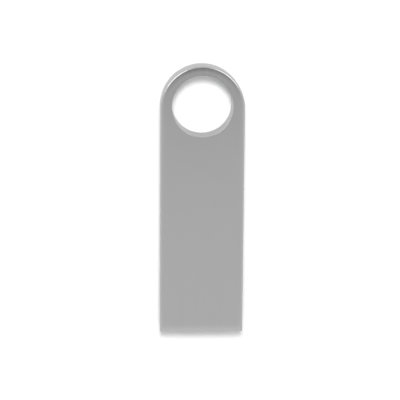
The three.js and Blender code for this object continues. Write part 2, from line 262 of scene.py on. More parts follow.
class Nodes:
    """The node tree of a material or of the world. Each input is a value or another node's output."""

    def __init__(self, owner):
        owner.use_nodes = True
        self.tree = owner.node_tree
        self.tree.nodes.clear()

    def put(self, socket, value):
        """Links or sets one input."""
        if isinstance(value, bpy.types.NodeSocket):
            self.tree.links.new(value, socket)
        else:
            socket.default_value = value

    def add(self, kind, settings=None, **inputs):
        """A new node. An input's name is written with _ for its spaces."""
        node = self.tree.nodes.new("ShaderNode" + kind)
        for key, value in (settings or {}).items():
            setattr(node, key, value)
        for key, value in inputs.items():
            self.put(node.inputs[key.replace("_", " ")], value)
        return node

    def calc(self, operation, *values, clamp=False):
        """A Math node's result."""
        node = self.add("Math", {"operation": operation, "use_clamp": clamp})
        for socket, value in zip(node.inputs, values):
            self.put(socket, value)
        return node.outputs[0]

    def part(self, vector, axis):
        """One of a vector's X, Y and Z."""
        return self.add("SeparateXYZ", Vector=vector).outputs[axis]

    def ramp(self, value, low, high, out_low=0.0, out_high=1.0):
        """Eases from out_low to out_high as value goes from low to high."""
        node = self.add("MapRange", {"interpolation_type": "SMOOTHSTEP"}, Value=value)
        limits = {"From Min": low, "From Max": high, "To Min": out_low, "To Max": out_high}
        for key, number in limits.items():
            self.put(node.inputs[key], number)
        return node.outputs[0]

    def mix_shaders(self, factor, a, b):
        """Shader a where factor is 0 and shader b where it is 1."""
        node = self.add("MixShader")
        for socket, value in zip(node.inputs, (factor, a.outputs[0], b.outputs[0])):
            self.put(socket, value)
        return node


class Material(Nodes):
    """A surface's nodes, with its position in millimetres as self.mm."""

    def __init__(self, name):
        self.material = bpy.data.materials.new(name)
        super().__init__(self.material)
        metres = self.add("TexCoord").outputs["Object"]
        scaled = self.add("VectorMath", {"operation": "SCALE"}, Vector=metres, Scale=1 / MM)
        self.mm = scaled.outputs["Vector"]

    def times(self, vector, x, y, z):
        """A vector multiplied along each axis."""
        node = self.add("VectorMath", {"operation": "MULTIPLY"})
        self.put(node.inputs[0], vector)
        self.put(node.inputs[1], (x, y, z))
        return node.outputs["Vector"]

    def stretch(self, x, y, z):
        """Position in millimetres, multiplied along each axis."""
        return self.times(self.mm, x, y, z)

    def turned(self, angle):
        """Position in millimetres, turned about Z by an angle in degrees."""
        node = self.add("VectorRotate", {"rotation_type": "Z_AXIS"}, Vector=self.mm)
        self.put(node.inputs["Angle"], math.radians(angle))
        return node.outputs["Vector"]

    def noise(self, vector, scale, detail=3.0, roughness=0.5):
        """Smooth noise from 0 to 1, with scale features per unit of vector."""
        node = self.add("TexNoise", Vector=vector, Scale=scale, Detail=detail, Roughness=roughness)
        return node.outputs[0]

    def waves(self, axis, rate):
        """A sine wave from -1 to 1 along an axis, at a rate in radians per millimetre."""
        return self.calc("SINE", self.calc("MULTIPLY", self.part(self.mm, axis), rate))

    def blend(self, factor, a, b):
        """Colour a where factor is 0 and colour b where it is 1."""
        node = self.add("Mix", {"data_type": "RGBA"})
        self.put(node.inputs["Factor"], factor)
        for socket, value in zip([s for s in node.inputs if s.type == "RGBA"], (a, b)):
            self.put(socket, value if isinstance(value, bpy.types.NodeSocket) else (*value, 1.0))
        return next(s for s in node.outputs if s.type == "RGBA")

    def bump(self, height, depth, normal=None):
        """A normal bumped by height, whose full range is depth millimetres."""
        node = self.add("Bump", Height=height, Distance=depth * MM, Strength=1.0)
        if normal is not None:
            self.put(node.inputs["Normal"], normal)
        return node.outputs["Normal"]

    def leaning(self, axis):
        """How far the surface faces along an axis, either way, from 0 to 1."""
        return self.calc("ABSOLUTE", self.part(self.add("NewGeometry").outputs["Normal"], axis))

    def edges(self):
        """0 where the surface faces along an axis, and 1 where it turns over an edge."""
        largest = self.calc("MAXIMUM", self.leaning("X"), self.leaning("Y"))
        largest = self.calc("MAXIMUM", largest, self.leaning("Z"))
        return self.ramp(largest, 0.98, 0.75)

    def finish(self, **inputs):
        """Puts the surface together and returns the material."""
        return self.output(self.add("BsdfPrincipled", **inputs))

    def output(self, shader):
        """Shows a shader and returns the material."""
        self.add("OutputMaterial", Surface=shader.outputs[0])
        return self.material


def satin_nickel():
    """Satin nickel plating: fine lengthways brushing, long hairlines, handling marks, edges worn bright."""
    m = Material("satin_nickel")
    upright = m.leaning("Z")
    level = m.calc("SQRT", m.calc("SUBTRACT", 1.0, m.calc("MULTIPLY", upright, upright), clamp=True))
    edge = m.ramp(m.calc("MAXIMUM", upright, level), 0.97, 0.74)  # the round end's wall isn't an edge

    brushing = m.noise(m.stretch(15.0, 0.3, 15.0), 1.0, detail=2.5, roughness=0.6)
    streaks = m.noise(m.stretch(2.4, 0.06, 2.4), 1.0, detail=3.0, roughness=0.6)
    grain = m.noise(m.mm, 28.0, detail=2.0)
    wear = m.noise(m.mm, 1.6, detail=3.0)
    smudges = m.noise(m.mm, 0.30, detail=3.0, roughness=0.55)
    hairlines = None
    for angle in (2.0, -3.5):
        line = m.noise(m.times(m.turned(angle), 13.0, 0.05, 13.0), 1.0, detail=1.0)
        line = m.ramp(line, 0.72, 0.78)
        hairlines = line if hairlines is None else m.calc("MAXIMUM", hairlines, line)

    tone = m.blend(streaks, (0.542, 0.542, 0.543), (0.560, 0.560, 0.559))
    tone = m.blend(m.ramp(brushing, 0.35, 0.65, 0.1, 0.45), tone, (0.61, 0.61, 0.61))
    worn = m.calc("MULTIPLY", edge, m.ramp(wear, 0.35, 0.65, 0.25, 0.6))
    tone = m.blend(worn, tone, (0.63, 0.63, 0.628))
    roughness = m.ramp(smudges, 0.3, 0.7, 0.20, 0.23)
    roughness = m.calc("ADD", roughness, m.ramp(brushing, 0.3, 0.7, -0.035, 0.035))
    roughness = m.calc("SUBTRACT", roughness, m.calc("MULTIPLY", edge, 0.06))
    roughness = m.calc("ADD", roughness, m.calc("MULTIPLY", hairlines, 0.015), clamp=True)

    normal = m.bump(brushing, 0.0016)
    normal = m.bump(grain, 0.0006, normal)
    normal = m.bump(m.calc("SUBTRACT", 1.0, hairlines), 0.0005, normal)
    return m.finish(
        Base_Color=tone, Metallic=1.0, Roughness=roughness, Normal=normal, Anisotropic=0.25,
        Specular_Tint=(0.72, 0.72, 0.72, 1.0), Tangent=m.add("CombineXYZ", Y=1.0).outputs[0],
    )


def moulded_plastic():
    """Black moulded plastic: fine eroded texture, slight flow marks, edges rubbed a little paler."""
    m = Material("black_moulded_plastic")
    texture = m.noise(m.mm, 22.0, detail=4.0, roughness=0.6)
    flow = m.noise(m.stretch(0.5, 1.6, 0.5), 1.0, detail=3.0)
    edge = m.edges()
    tone = m.blend(flow, (0.014, 0.0145, 0.016), (0.026, 0.027, 0.029))
    tone = m.blend(m.calc("MULTIPLY", edge, 0.45), tone, (0.075, 0.076, 0.080))
    roughness = m.ramp(texture, 0.25, 0.75, 0.42, 0.62)
    normal = m.bump(texture, 0.006, m.bump(flow, 0.012))
    return m.finish(Base_Color=tone, Roughness=roughness, Normal=normal, Specular_IOR_Level=0.45)


def board_laminate():
    """Solder mask on the board's faces, with glass weave under it, and bare laminate on its cut edges."""
    m = Material("board_laminate")
    face = m.ramp(m.leaning("Z"), 0.55, 0.8)
    warp = m.waves("X", 11.0)
    weft = m.waves("Y", 9.5)
    weave = m.ramp(m.calc("MULTIPLY", warp, weft), -1.0, 1.0)
    layers = m.ramp(m.waves("Z", 62.0), -0.6, 0.6)
    fibres = m.noise(m.stretch(12.0, 12.0, 3.0), 1.0, detail=4.0, roughness=0.7)
    speckle = m.noise(m.mm, 34.0, detail=2.0)
    cut_edge = m.blend(layers, (0.30, 0.27, 0.13), (0.42, 0.37, 0.20))
    cut_edge = m.blend(m.ramp(fibres, 0.45, 0.7), cut_edge, (0.52, 0.48, 0.33))
    mask = m.blend(weave, (0.008, 0.034, 0.016), (0.011, 0.043, 0.021))
    mask = m.blend(m.ramp(speckle, 0.55, 0.8), mask, (0.016, 0.055, 0.028))
    tone = m.blend(face, cut_edge, mask)
    roughness = m.ramp(m.calc("ADD", face, m.calc("MULTIPLY", speckle, 0.25)), 0.1, 1.2, 0.85, 0.26)
    normal = m.bump(weave, 0.0022, m.bump(fibres, 0.004))
    return m.finish(Base_Color=tone, Roughness=roughness, Normal=normal, Coat_Weight=0.15)


def masked_copper():
    """Copper tracks under solder mask: the board's green, paler and a little orange-peeled."""
    m = Material("masked_copper")
    peel = m.noise(m.mm, 9.0, detail=3.0)
    edge = m.edges()
    tone = m.blend(peel, (0.014, 0.070, 0.030), (0.022, 0.092, 0.040))
    tone = m.blend(m.calc("MULTIPLY", edge, 0.5), tone, (0.006, 0.028, 0.014))
    return m.finish(
        Base_Color=tone, Roughness=m.ramp(peel, 0.3, 0.7, 0.20, 0.32),
        Normal=m.bump(peel, 0.002), Coat_Weight=0.2,
    )


def contact_gold():
    """Hard gold plating, with fine rolling lines and the wiped lines that a socket's springs leave."""
    m = Material("contact_gold")
    rolling = m.noise(m.stretch(30.0, 0.9, 30.0), 1.0, detail=4.0, roughness=0.6)
    stipple = m.noise(m.mm, 18.0, detail=3.0)
    tarnish = m.noise(m.mm, 0.9, detail=3.0)
    wipe = m.noise(m.stretch(9.0, 0.22, 1.0), 1.0, detail=3.0, roughness=0.6)
    reach = m.ramp(m.part(m.mm, "Y"), MOUTH_Y + 3.0, MOUTH_Y + 8.5, 1.0, 0.0)
    worn = m.calc("MULTIPLY", m.ramp(wipe, 0.50, 0.66), reach)
    tone = m.blend(tarnish, (0.90, 0.62, 0.26), (0.95, 0.70, 0.34))
    tone = m.blend(m.calc("MULTIPLY", worn, 0.45), tone, (0.97, 0.82, 0.56))
    tone = m.blend(m.ramp(stipple, 0.62, 0.85, 0.0, 0.12), tone, (0.70, 0.46, 0.18))
    roughness = m.calc("ADD", m.ramp(rolling, 0.3, 0.7, 0.42, 0.54), m.calc("MULTIPLY", worn, -0.08))
    normal = m.bump(rolling, 0.0002, m.bump(stipple, 0.0002))
    normal = m.bump(worn, -0.0002, normal)
    return m.finish(Base_Color=tone, Metallic=0.8, Roughness=roughness, Normal=normal)


def filled_epoxy():
    """Black moulding epoxy: silica filler shows as grain and pinpricks, matt from the mould."""
    m = Material("filled_epoxy")
    grain = m.noise(m.mm, 26.0, detail=5.0, roughness=0.7)
    cells = m.add("TexVoronoi", Vector=m.mm, Scale=9.0).outputs["Distance"]
    flow = m.noise(m.mm, 0.5, detail=2.0)
    tone = m.blend(flow, (0.012, 0.012, 0.013), (0.024, 0.024, 0.026))
    tone = m.blend(m.ramp(cells, 0.16, 0.05), tone, (0.060, 0.060, 0.064))
    tone = m.blend(m.calc("MULTIPLY", m.edges(), 0.4), tone, (0.070, 0.070, 0.074))
    roughness = m.ramp(grain, 0.3, 0.7, 0.48, 0.70)
    normal = m.bump(grain, 0.005, m.bump(cells, 0.004))
    return m.finish(Base_Color=tone, Roughness=roughness, Normal=normal)


def polished_silicon():
    """A bare die: blue-grey silicon whose active face shows blocks of circuit."""
    m = Material("polished_silicon")
    blocks = m.add(
        "TexBrick", {"offset": 0.0}, Vector=m.mm, Scale=1.0, Mortar_Size=0.03,
        Color1=(0.20, 0.22, 0.28, 1), Color2=(0.27, 0.25, 0.31, 1), Mortar=(0.10, 0.11, 0.13, 1),
    )
    m.put(blocks.inputs["Brick Width"], 0.9)
    m.put(blocks.inputs["Row Height"], 0.45)
    cells = m.add("TexVoronoi", {"distance": "CHEBYCHEV"}, Vector=m.stretch(1.0, 2.2, 1.0), Scale=5.0)
    rows = m.add("TexWave", {"bands_direction": "Y"}, Vector=m.mm, Scale=9.0, Distortion=0.0).outputs[0]
    film = m.noise(m.mm, 0.8, detail=2.0)
    tone = m.blend(m.ramp(cells.outputs["Distance"], 0.0, 0.3), blocks.outputs["Color"], (0.30, 0.31, 0.36))
    tone = m.blend(m.calc("MULTIPLY", rows, 0.35), tone, (0.15, 0.19, 0.26))
    tone = m.blend(m.ramp(film, 0.4, 0.65, 0.0, 0.4), tone, (0.34, 0.27, 0.30))
    normal = m.bump(rows, 0.0006, m.bump(cells.outputs["Distance"], 0.0008))
    return m.finish(
        Base_Color=tone, Metallic=0.75, Roughness=m.ramp(film, 0.3, 0.7, 0.10, 0.20), Normal=normal
    )


def fired_ceramic(name, dark, light, pale_edge, roughness=0.55):
    """Fired ceramic, ferrite or glaze: grainy, mottled, with chips of paler body along the edges."""
    m = Material(name)
    grain = m.noise(m.mm, 32.0, detail=4.0, roughness=0.65)
    mottle = m.noise(m.mm, 5.0, detail=3.0)
    chipped = m.calc("MULTIPLY", m.edges(), m.ramp(m.noise(m.mm, 11.0), 0.42, 0.62))
    tone = m.blend(mottle, dark, light)
    tone = m.blend(m.calc("MULTIPLY", chipped, 0.6), tone, pale_edge)
    rough = m.ramp(grain, 0.3, 0.7, roughness - 0.1, roughness + 0.1)
    return m.finish(Base_Color=tone, Roughness=rough, Normal=m.bump(grain, 0.004, m.bump(mottle, 0.006)))


def dull_tin():
    """Tin plating on terminals and lids: soft, dull, crystalline."""
    m = Material("dull_tin")
    spangle = m.add("TexVoronoi", Vector=m.mm, Scale=14.0).outputs["Color"]
    shade = m.part(spangle, "X")
    cloud = m.noise(m.mm, 6.0, detail=4.0, roughness=0.65)
    tone = m.blend(shade, (0.50, 0.50, 0.49), (0.64, 0.63, 0.61))
    tone = m.blend(m.ramp(cloud, 0.5, 0.8, 0.0, 0.4), tone, (0.42, 0.41, 0.39))
    roughness = m.ramp(cloud, 0.3, 0.7, 0.26, 0.46)
    normal = m.bump(cloud, 0.004, m.bump(shade, 0.0012))
    return m.finish(Base_Color=tone, Metallic=1.0, Roughness=roughness, Normal=normal)


def adhesive_tape():
    """Double-sided tape: honey-coloured, with trapped bubbles and a slightly stringy surface."""
    m = Material("adhesive_tape")
    bubbles = m.ramp(m.add("TexVoronoi", Vector=m.mm, Scale=2.2).outputs["Distance"], 0.10, 0.16)
    strings = m.noise(m.stretch(1.0, 6.0, 1.0), 1.0, detail=4.0)
    tone = m.blend(strings, (0.52, 0.45, 0.27), (0.64, 0.58, 0.40))
    tone = m.blend(bubbles, (0.74, 0.70, 0.58), tone)
    return m.finish(
        Base_Color=tone, Roughness=m.ramp(strings, 0.3, 0.7, 0.22, 0.45),
        Normal=m.bump(strings, 0.004, m.bump(bubbles, 0.004)), Coat_Weight=0.3,
    )


# ---------------------------------------------------------------- placing pieces


def use(obj, material, slot, *nodes):
    """Gives a new piece its material, puts it on the drive and hides the CAD nodes that it stands for."""
    obj.data.materials.clear()
    obj.data.materials.append(material)
    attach(obj, "root")
    if nodes:
        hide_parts(*nodes)


def dress(node, material, edge):
    """Gives a CAD node a material, rounds its edges and joins its flat faces, without touching its mesh."""
    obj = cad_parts[node]
    for slot in obj.material_slots:
        slot.material = material
    weld = obj.modifiers.new("weld", "WELD")
    weld.merge_threshold = 0.002 * MM
    planar = obj.modifiers.new("join_flats", "DECIMATE")
    planar.decimate_type = "DISSOLVE"
    planar.angle_limit = math.radians(1)
    bevel = obj.modifiers.new("round_edges", "BEVEL")
    bevel.width = edge * MM
    bevel.segments = 3
    bevel.limit_method = "ANGLE"
    bevel.angle_limit = math.radians(40)
    bevel.use_clamp_overlap = True
    bevel.harden_normals = True


# ---------------------------------------------------------------- housing

TOP_STEPS = 30  # across each face
SIDE_STEPS = 4  # up the flat of each side
CROWN_STEPS = 4  # over a face's eased border
ROUND_STEPS = 8  # round a long edge
ARC_STEPS = 96  # round the end arc
BARREL_STEPS = 18  # along the body, from its lead-in to the start of the key-ring end
STRAIGHT_STEPS = 5  # from there to the end arc
LEAD_IN_STEPS = 8
LIP_STEPS = 4
MOUTH_CORNER_STEPS = 5
CAVITY_STEPS = 10
RIM_STEPS = 6  # round each of the eye's edges
LEAST_STEP = 0.003  # depths at the mouth that are closer than this are merged
CROWN_DROP = CROWN_WIDTH * math.tan(CROWN_SLOPE) / 2
CROWN_START = EDGE_ROUND * (1 - math.sin(CROWN_SLOPE))  # how far inside the outline the rounding begins


def outer_profile():
    """(inset, drop) pairs from the flat of a face, over its eased border and its rounding, to the side."""
    pairs = []
    for k in range(CROWN_STEPS):
        share = k / CROWN_STEPS
        pairs.append((CROWN_START + CROWN_WIDTH * (1 - share), CROWN_DROP * share**2))
    for k in range(ROUND_STEPS + 1):
        angle = CROWN_SLOPE + (QUARTER - CROWN_SLOPE) * k / ROUND_STEPS
        drop = CROWN_DROP + EDGE_ROUND * (math.cos(CROWN_SLOPE) - math.cos(angle))
        pairs.append((EDGE_ROUND * (1 - math.sin(angle)), drop))
    return pairs


def round_profile(radius):
    """(inset, drop) pairs of a plain quarter round, as many as the outer profile has."""
    steps = CROWN_STEPS + ROUND_STEPS
    angles = [QUARTER * k / steps for k in range(steps + 1)]
    return [(radius * (1 - math.sin(a)), radius * (1 - math.cos(a))) for a in angles]


def section(half_width, bottom, top, profile):
    """Rounded rectangle in X and Z, clockwise seen from the mouth, from the left end of its top side."""

    def side(start, end, steps):
        ratios = [k / steps for k in range(1, steps)]
        return [tuple(a + (b - a) * r for a, b in zip(start, end)) for r in ratios]

    right_top = [(half_width - inset, top - drop) for inset, drop in profile]
    right_bottom = [(half_width - inset, bottom + drop) for inset, drop in reversed(profile)]
    left_bottom = [(-x, z) for x, z in reversed(right_bottom)]
    left_top = [(-x, z) for x, z in reversed(right_top)]
    outline = left_top[-1:]
    outline += side(left_top[-1], right_top[0], TOP_STEPS)
    outline += right_top + side(right_top[-1], right_bottom[0], SIDE_STEPS)
    outline += right_bottom + side(right_bottom[-1], left_bottom[0], TOP_STEPS)
    outline += left_bottom + side(left_bottom[-1], left_top[0], SIDE_STEPS) + left_top[:-1]
    return outline


PROFILE_LENGTH = CROWN_STEPS + ROUND_STEPS + 1
COLUMN_LENGTH = 2 * PROFILE_LENGTH + SIDE_STEPS - 1  # points down one side of a section


def quarter_inset(radius, depth):
    """How far a rounded corner of this radius stands in, at this depth behind its front."""
    if depth >= radius:
        return 0.0
    return radius - math.sqrt(radius**2 - (radius - depth) ** 2)


def lead_in(depth):
    """How far each face has eased down, at this depth behind the mouth."""
    if depth >= LEAD_IN_LENGTH:
        return 0.0
    radius = (LEAD_IN_LENGTH**2 + LEAD_IN_DROP**2) / (2 * LEAD_IN_DROP)
    return radius - math.sqrt(radius**2 - (LEAD_IN_LENGTH - depth) ** 2)


def mouth_stations(last):
    """Depths behind the mouth at which the outside has a section, closer where it curves."""
    depths = {0.0, last}
    for radius, steps in ((MOUTH_LIP, LIP_STEPS), (MOUTH_CORNER, MOUTH_CORNER_STEPS)):
        depths |= {radius * (1 - math.cos(QUARTER * k / steps)) for k in range(1, steps + 1)}
    eased = LEAD_IN_LENGTH - MOUTH_CORNER
    depths |= {MOUTH_CORNER + eased * k / LEAD_IN_STEPS for k in range(1, LEAD_IN_STEPS + 1)}
    straight = last - LEAD_IN_LENGTH
    depths |= {LEAD_IN_LENGTH + straight * k / BARREL_STEPS for k in range(1, BARREL_STEPS)}
    kept = []
    for depth in sorted(depths):
        if not kept or depth - kept[-1] > LEAST_STEP:
            kept.append(depth)
    return kept


def outside_row(shape, depth):
    """The body's outer section at a depth behind the mouth."""
    half_width = HALF_WIDTH - quarter_inset(MOUTH_CORNER, depth)
    drop = lead_in(depth) + quarter_inset(MOUTH_LIP, depth)
    outline = section(half_width, drop, THICKNESS - drop, outer_profile())
    return shape.row([(x, MOUTH_Y + depth, z) for x, z in outline])


def cavity_row(shape, depth):
    """The plug cavity's section at a depth behind the mouth."""
    grown = max(CAVITY_CHAMFER - depth, 0.0)
    profile = round_profile(CAVITY_CORNER + grown)
    outline = section(HALF_WIDTH - WALL + grown, WALL - grown, THICKNESS - WALL + grown, profile)
    return shape.row([(x, MOUTH_Y + depth, z) for x, z in outline])


def end_perimeter(join_y):
    """Points and outward directions round the key-ring end, from its right side to its left."""
    climb = [join_y + (ARC_Y - join_y) * k / STRAIGHT_STEPS for k in range(STRAIGHT_STEPS)]
    right = [((HALF_WIDTH, y), (1.0, 0.0)) for y in climb]
    left = [((-HALF_WIDTH, y), (-1.0, 0.0)) for y in reversed(climb)]
    arc = []
    for k in range(ARC_STEPS + 1):
        angle = math.pi * k / ARC_STEPS
        out = (math.cos(angle), math.sin(angle))
        arc.append(((HALF_WIDTH * out[0], ARC_Y + HALF_WIDTH * out[1]), out))
    return right + arc + left


def end_columns(shape, join_row, join_y):
    """Columns of points down the outside of the key-ring end. The first and last are the join's own."""
    right_side = slice(TOP_STEPS, TOP_STEPS + COLUMN_LENGTH)
    profile = section(HALF_WIDTH, 0.0, THICKNESS, outer_profile())[right_side]
    right = join_row[right_side]
    left = (join_row[2 * TOP_STEPS + COLUMN_LENGTH - 1:] + join_row[:1])[::-1]
    columns = [right]
    for (x, y), (out_x, out_y) in end_perimeter(join_y)[1:-1]:
        column = [(x + out_x * (px - HALF_WIDTH), y + out_y * (px - HALF_WIDTH), z) for px, z in profile]
        columns.append(shape.row(column))
    return columns + [left]


def eye_rings(shape, front, rear):
    """Rings from the front face's border, through the eye, to the rear face's border."""
    spokes = []
    for i in front:
        x, y, _ = shape.points[i]
        spokes.append(Vector((x, y - EYE_Y)))
    rim_radius = EYE_RADIUS + EYE_RIM

    def ring(lengths, z):
        ends = [s.normalized() * length for s, length in zip(spokes, lengths)]
        return shape.row([(e.x, EYE_Y + e.y, z) for e in ends])

    def face_ring(share, z):
        return ring([s.length + (rim_radius - s.length) * share for s in spokes], z)

    shares = (0.04, 0.5, 0.96)  # of the way from the border to the rim
    rim = rim_profile(EYE_RIM, RIM_STEPS)
    wall = [(EYE_RADIUS + inset, THICKNESS - rise) for inset, rise in rim]
    wall += [(EYE_RADIUS, THICKNESS / 2)]
    wall += [(EYE_RADIUS + inset, rise) for inset, rise in reversed(rim)]
    return [
        front,
        *[face_ring(share, THICKNESS) for share in shares],
        *[ring([radius] * len(spokes), z) for radius, z in wall],
        *[face_ring(share, 0.0) for share in reversed(shares)],
        rear,
    ]


def window_cutter(side):
    """What one latch window takes out of the rear wall, flared at both ends to round its rims."""
    x = side * WINDOW_X
    y = MOUTH_Y + WINDOW_FROM_MOUTH
    low = (x - WINDOW_SIZE[0] / 2, y - WINDOW_SIZE[1] / 2)
    high = (x + WINDOW_SIZE[0] / 2, y + WINDOW_SIZE[1] / 2)
    rim = rim_profile(WINDOW_RIM)
    levels = [(WINDOW_RIM, -WINDOW_RIM)]
    levels += [(inset, rise) for inset, rise in rim]
    levels += [(inset, WALL - rise) for inset, rise in reversed(rim)]
    levels += [(WINDOW_RIM, WALL + WINDOW_RIM)]
    shape = Shape()
    shape.stack(levels, lambda grown: inset_rectangle(low, high, WINDOW_CORNER, -grown))
    return shape.build("window_cutter")


def make_housing():
    """The one-piece metal body: plug shell, faces, rounded end and key-ring eye."""
    shape = Shape()
    join_y = EYE_Y - HALF_WIDTH
    outside = [outside_row(shape, depth) for depth in mouth_stations(join_y - MOUTH_Y)]
    shape.rings(outside)

    join = outside[-1]
    columns = end_columns(shape, join, join_y)
    for a, b in zip(columns, columns[1:]):
        shape.strip(a, b)
    low_start = TOP_STEPS + COLUMN_LENGTH - 1
    front = [column[0] for column in columns] + join[1:TOP_STEPS]
    rear = [column[-1] for column in columns] + join[low_start + 1:low_start + TOP_STEPS][::-1]
    shape.rings(eye_rings(shape, front, rear))

    straight = CAVITY_END_Y - MOUTH_Y - CAVITY_CHAMFER
    depths = [0.0]
    depths += [CAVITY_CHAMFER + straight * k / CAVITY_STEPS for k in range(CAVITY_STEPS + 1)]
    inside = [cavity_row(shape, depth) for depth in depths]
    shape.rings([outside[0], *inside])
    shape.cap(inside[-1])

    body = cut(shape.build("housing_shell"), window_cutter(-1), window_cutter(1))
    return smooth(body, angle=40)


# ---------------------------------------------------------------- inside pieces

CUT_PAST = 0.1  # how far a cutter stands past the piece that it cuts

MARK_RADIUS = 0.9  # ejector marks in the mould cap
MARK_DEPTH = 0.025
MARK_FROM_END = 2.2

TRACK_SINK = 0.01  # how far tracks and pads are sunk in the board
TOP_TRACK_RISE = 0.014
UNDER_TRACK_RISE = 0.012
PAD_RISE = 0.004  # of pads above the tracks

CONTACT_TRACKS = (  # contact, width of its track, and X at which the track ends
    ("power_contact", 0.6, 4.3),
    ("data_minus_contact", 0.22, 1.5),
    ("data_plus_contact", 0.22, -0.6),
    ("ground_contact", 0.6, -3.6),
)
CONTACT_OVERLAP = 0.1  # of a track under its contact
CONTACT_BEND = 1.1  # from a contact's back to its track's first bend
CONTACT_TAIL = 2.4  # from the last bend to the round pad at the track's end
END_PAD_RADIUS = 0.32

TEST_PADS = 6
TEST_PAD_X = -3.75  # of the first
TEST_PAD_PITCH = 1.5
TEST_PAD_FROM_BACK = 2.0
TEST_PAD_RADIUS = 0.4
TEST_TRACK_WIDTH = 0.18
TEST_TRACK = ((0.0, 2.0), (0.0, 4.2), (0.8, 5.0), (0.8, 7.2))  # (right of its pad, from the board's back)

LONG_TRACKS_X = (-0.2, 0.95, 2.1, 3.25)
LONG_TRACK_WIDTH = 0.14
LONG_TRACK_START = ((0.0, 0.1), (0.0, 0.9), (0.25, 1.15))  # (right of its X, behind the mould cap)
LONG_TRACK_END = ((0.25, 1.2), (0.6, 0.85))  # (right of its X, from the board's back)
LONG_TRACK_STAGGER = 0.15  # each ends this much shorter than the last
CROSS_TRACKS = 3
CROSS_TRACK_WIDTH = 0.1
CROSS_TRACK_START = 0.5  # from the mould cap to the first
CROSS_TRACK_PITCH = 0.22
CROSS_TRACK = ((-4.9, 0.0), (-1.4, 0.0), (-1.1, 0.3), (-0.6, 0.3))  # (X, back from its start)

BOND_PAD = 0.09  # side of a bond pad
BOND_PAD_RISE = 0.006
BOND_PAD_SINK = 0.004

NOTCH_RADIUS = 0.2  # at the corners of the crystal's package
SEAL_MARGIN = 0.07  # of the crystal's seal ring round its lid
SEAL_BELOW = 0.05
SEAL_ABOVE = 0.01

CHIP_INSET = 0.02  # of a small chip's body inside its terminals
TERMINAL_LENGTH = 0.22


def slab_from(name, node, corner, rim):
    """A slab in a CAD node's place, with rounded corners and edges."""
    shape = Shape()
    shape.slab(*cad_box(node), corner, rim)
    return smooth(shape.build(name))


def make_mould_cap():
    """Epoxy block with a shallow round ejector mark near each end."""
    low, high = cad_box("mould_cap")
    block = slab_from("mould_cap_block", "mould_cap", corner=0.3, rim=0.06)
    marks = []
    for y in (low.y + MARK_FROM_END, high.y - MARK_FROM_END):
        shape = Shape()
        shape.disc(0.0, y, MARK_RADIUS, low.z - CUT_PAST, low.z + MARK_DEPTH, rim=0.01)
        marks.append(shape.build("mark_cutter"))
    use(smooth(cut(block, *marks)), epoxy, "epoxy", "mould_cap")


def make_contact_pads():
    """The four gold contacts, each a plate with soft edges."""
    for node, _, _ in CONTACT_TRACKS:
        use(slab_from(node + "_pad", node, corner=0.25, rim=0.022), gold, "gold", node)


def make_top_tracks():
    """Tracks and round pads on the contact side of the board."""
    high = cad_box("circuit_board")[1]
    z0 = high.z - TRACK_SINK
    z1 = high.z + TOP_TRACK_RISE
    tracks = Shape()
    pads = Shape()
    for node, width, end_x in CONTACT_TRACKS:
        pad_low, pad_high = cad_box(node)
        x = (pad_low.x + pad_high.x) / 2
        bend_y = pad_high.y + CONTACT_BEND + abs(end_x - x)
        path = [(x, pad_high.y - CONTACT_OVERLAP), (x, pad_high.y + CONTACT_BEND)]
        path += [(end_x, bend_y), (end_x, bend_y + CONTACT_TAIL)]
        tracks.ribbon(path, width, z0, z1)
        pads.disc(end_x, bend_y + CONTACT_TAIL, END_PAD_RADIUS, z0, z1 + PAD_RISE)
    for k in range(TEST_PADS):
        x = TEST_PAD_X + TEST_PAD_PITCH * k
        pads.disc(x, high.y - TEST_PAD_FROM_BACK, TEST_PAD_RADIUS, z0, z1 + PAD_RISE)
        if k % 2 == 0:
            path = [(x + right, high.y - back) for right, back in TEST_TRACK]
            tracks.ribbon(path, TEST_TRACK_WIDTH, z0, z1)
    use(smooth(tracks.build("board_tracks_top"), keep_flat=False), copper_green, "solder_mask")
    use(smooth(pads.build("board_test_pads"), keep_flat=False), gold, "gold")


def make_under_tracks():
    """Tracks between the small parts under the back of the board."""
    low, high = cad_box("circuit_board")
    mould_back = cad_box("mould_cap")[1].y
    z0 = low.z - UNDER_TRACK_RISE
    z1 = low.z + TRACK_SINK
    tracks = Shape()
    for k, x in enumerate(LONG_TRACKS_X):
        path = [(x + right, mould_back + behind) for right, behind in LONG_TRACK_START]
        path += [(x + right, high.y - ahead - LONG_TRACK_STAGGER * k) for right, ahead in LONG_TRACK_END]
        tracks.ribbon(path, LONG_TRACK_WIDTH, z0, z1)
    for k in range(CROSS_TRACKS):
        y = mould_back + CROSS_TRACK_START + CROSS_TRACK_PITCH * k
        tracks.ribbon([(x, y + behind) for x, behind in CROSS_TRACK], CROSS_TRACK_WIDTH, z0, z1)
    use(smooth(tracks.build("board_tracks_under"), keep_flat=False), copper_green, "solder_mask")


def add_bond_pads(shape, node, count, from_side, from_edge, both_edges=False):
    """A row of bond pads along the front edge of a die's lower face, or along both edges."""
    low, high = cad_box(node)
    rows = [low.y + from_edge]
    if both_edges:
        rows.append(high.y - from_edge - BOND_PAD)
    z0, z1 = low.z - BOND_PAD_RISE, low.z + BOND_PAD_SINK
    for k in range(count):
        x = low.x + from_side + (high.x - low.x - 2 * from_side - BOND_PAD) * k / (count - 1)
        for y in rows:
            shape.slab((x, y, z0), (x + BOND_PAD, y + BOND_PAD, z1), corner=0.01, rim=0.002)


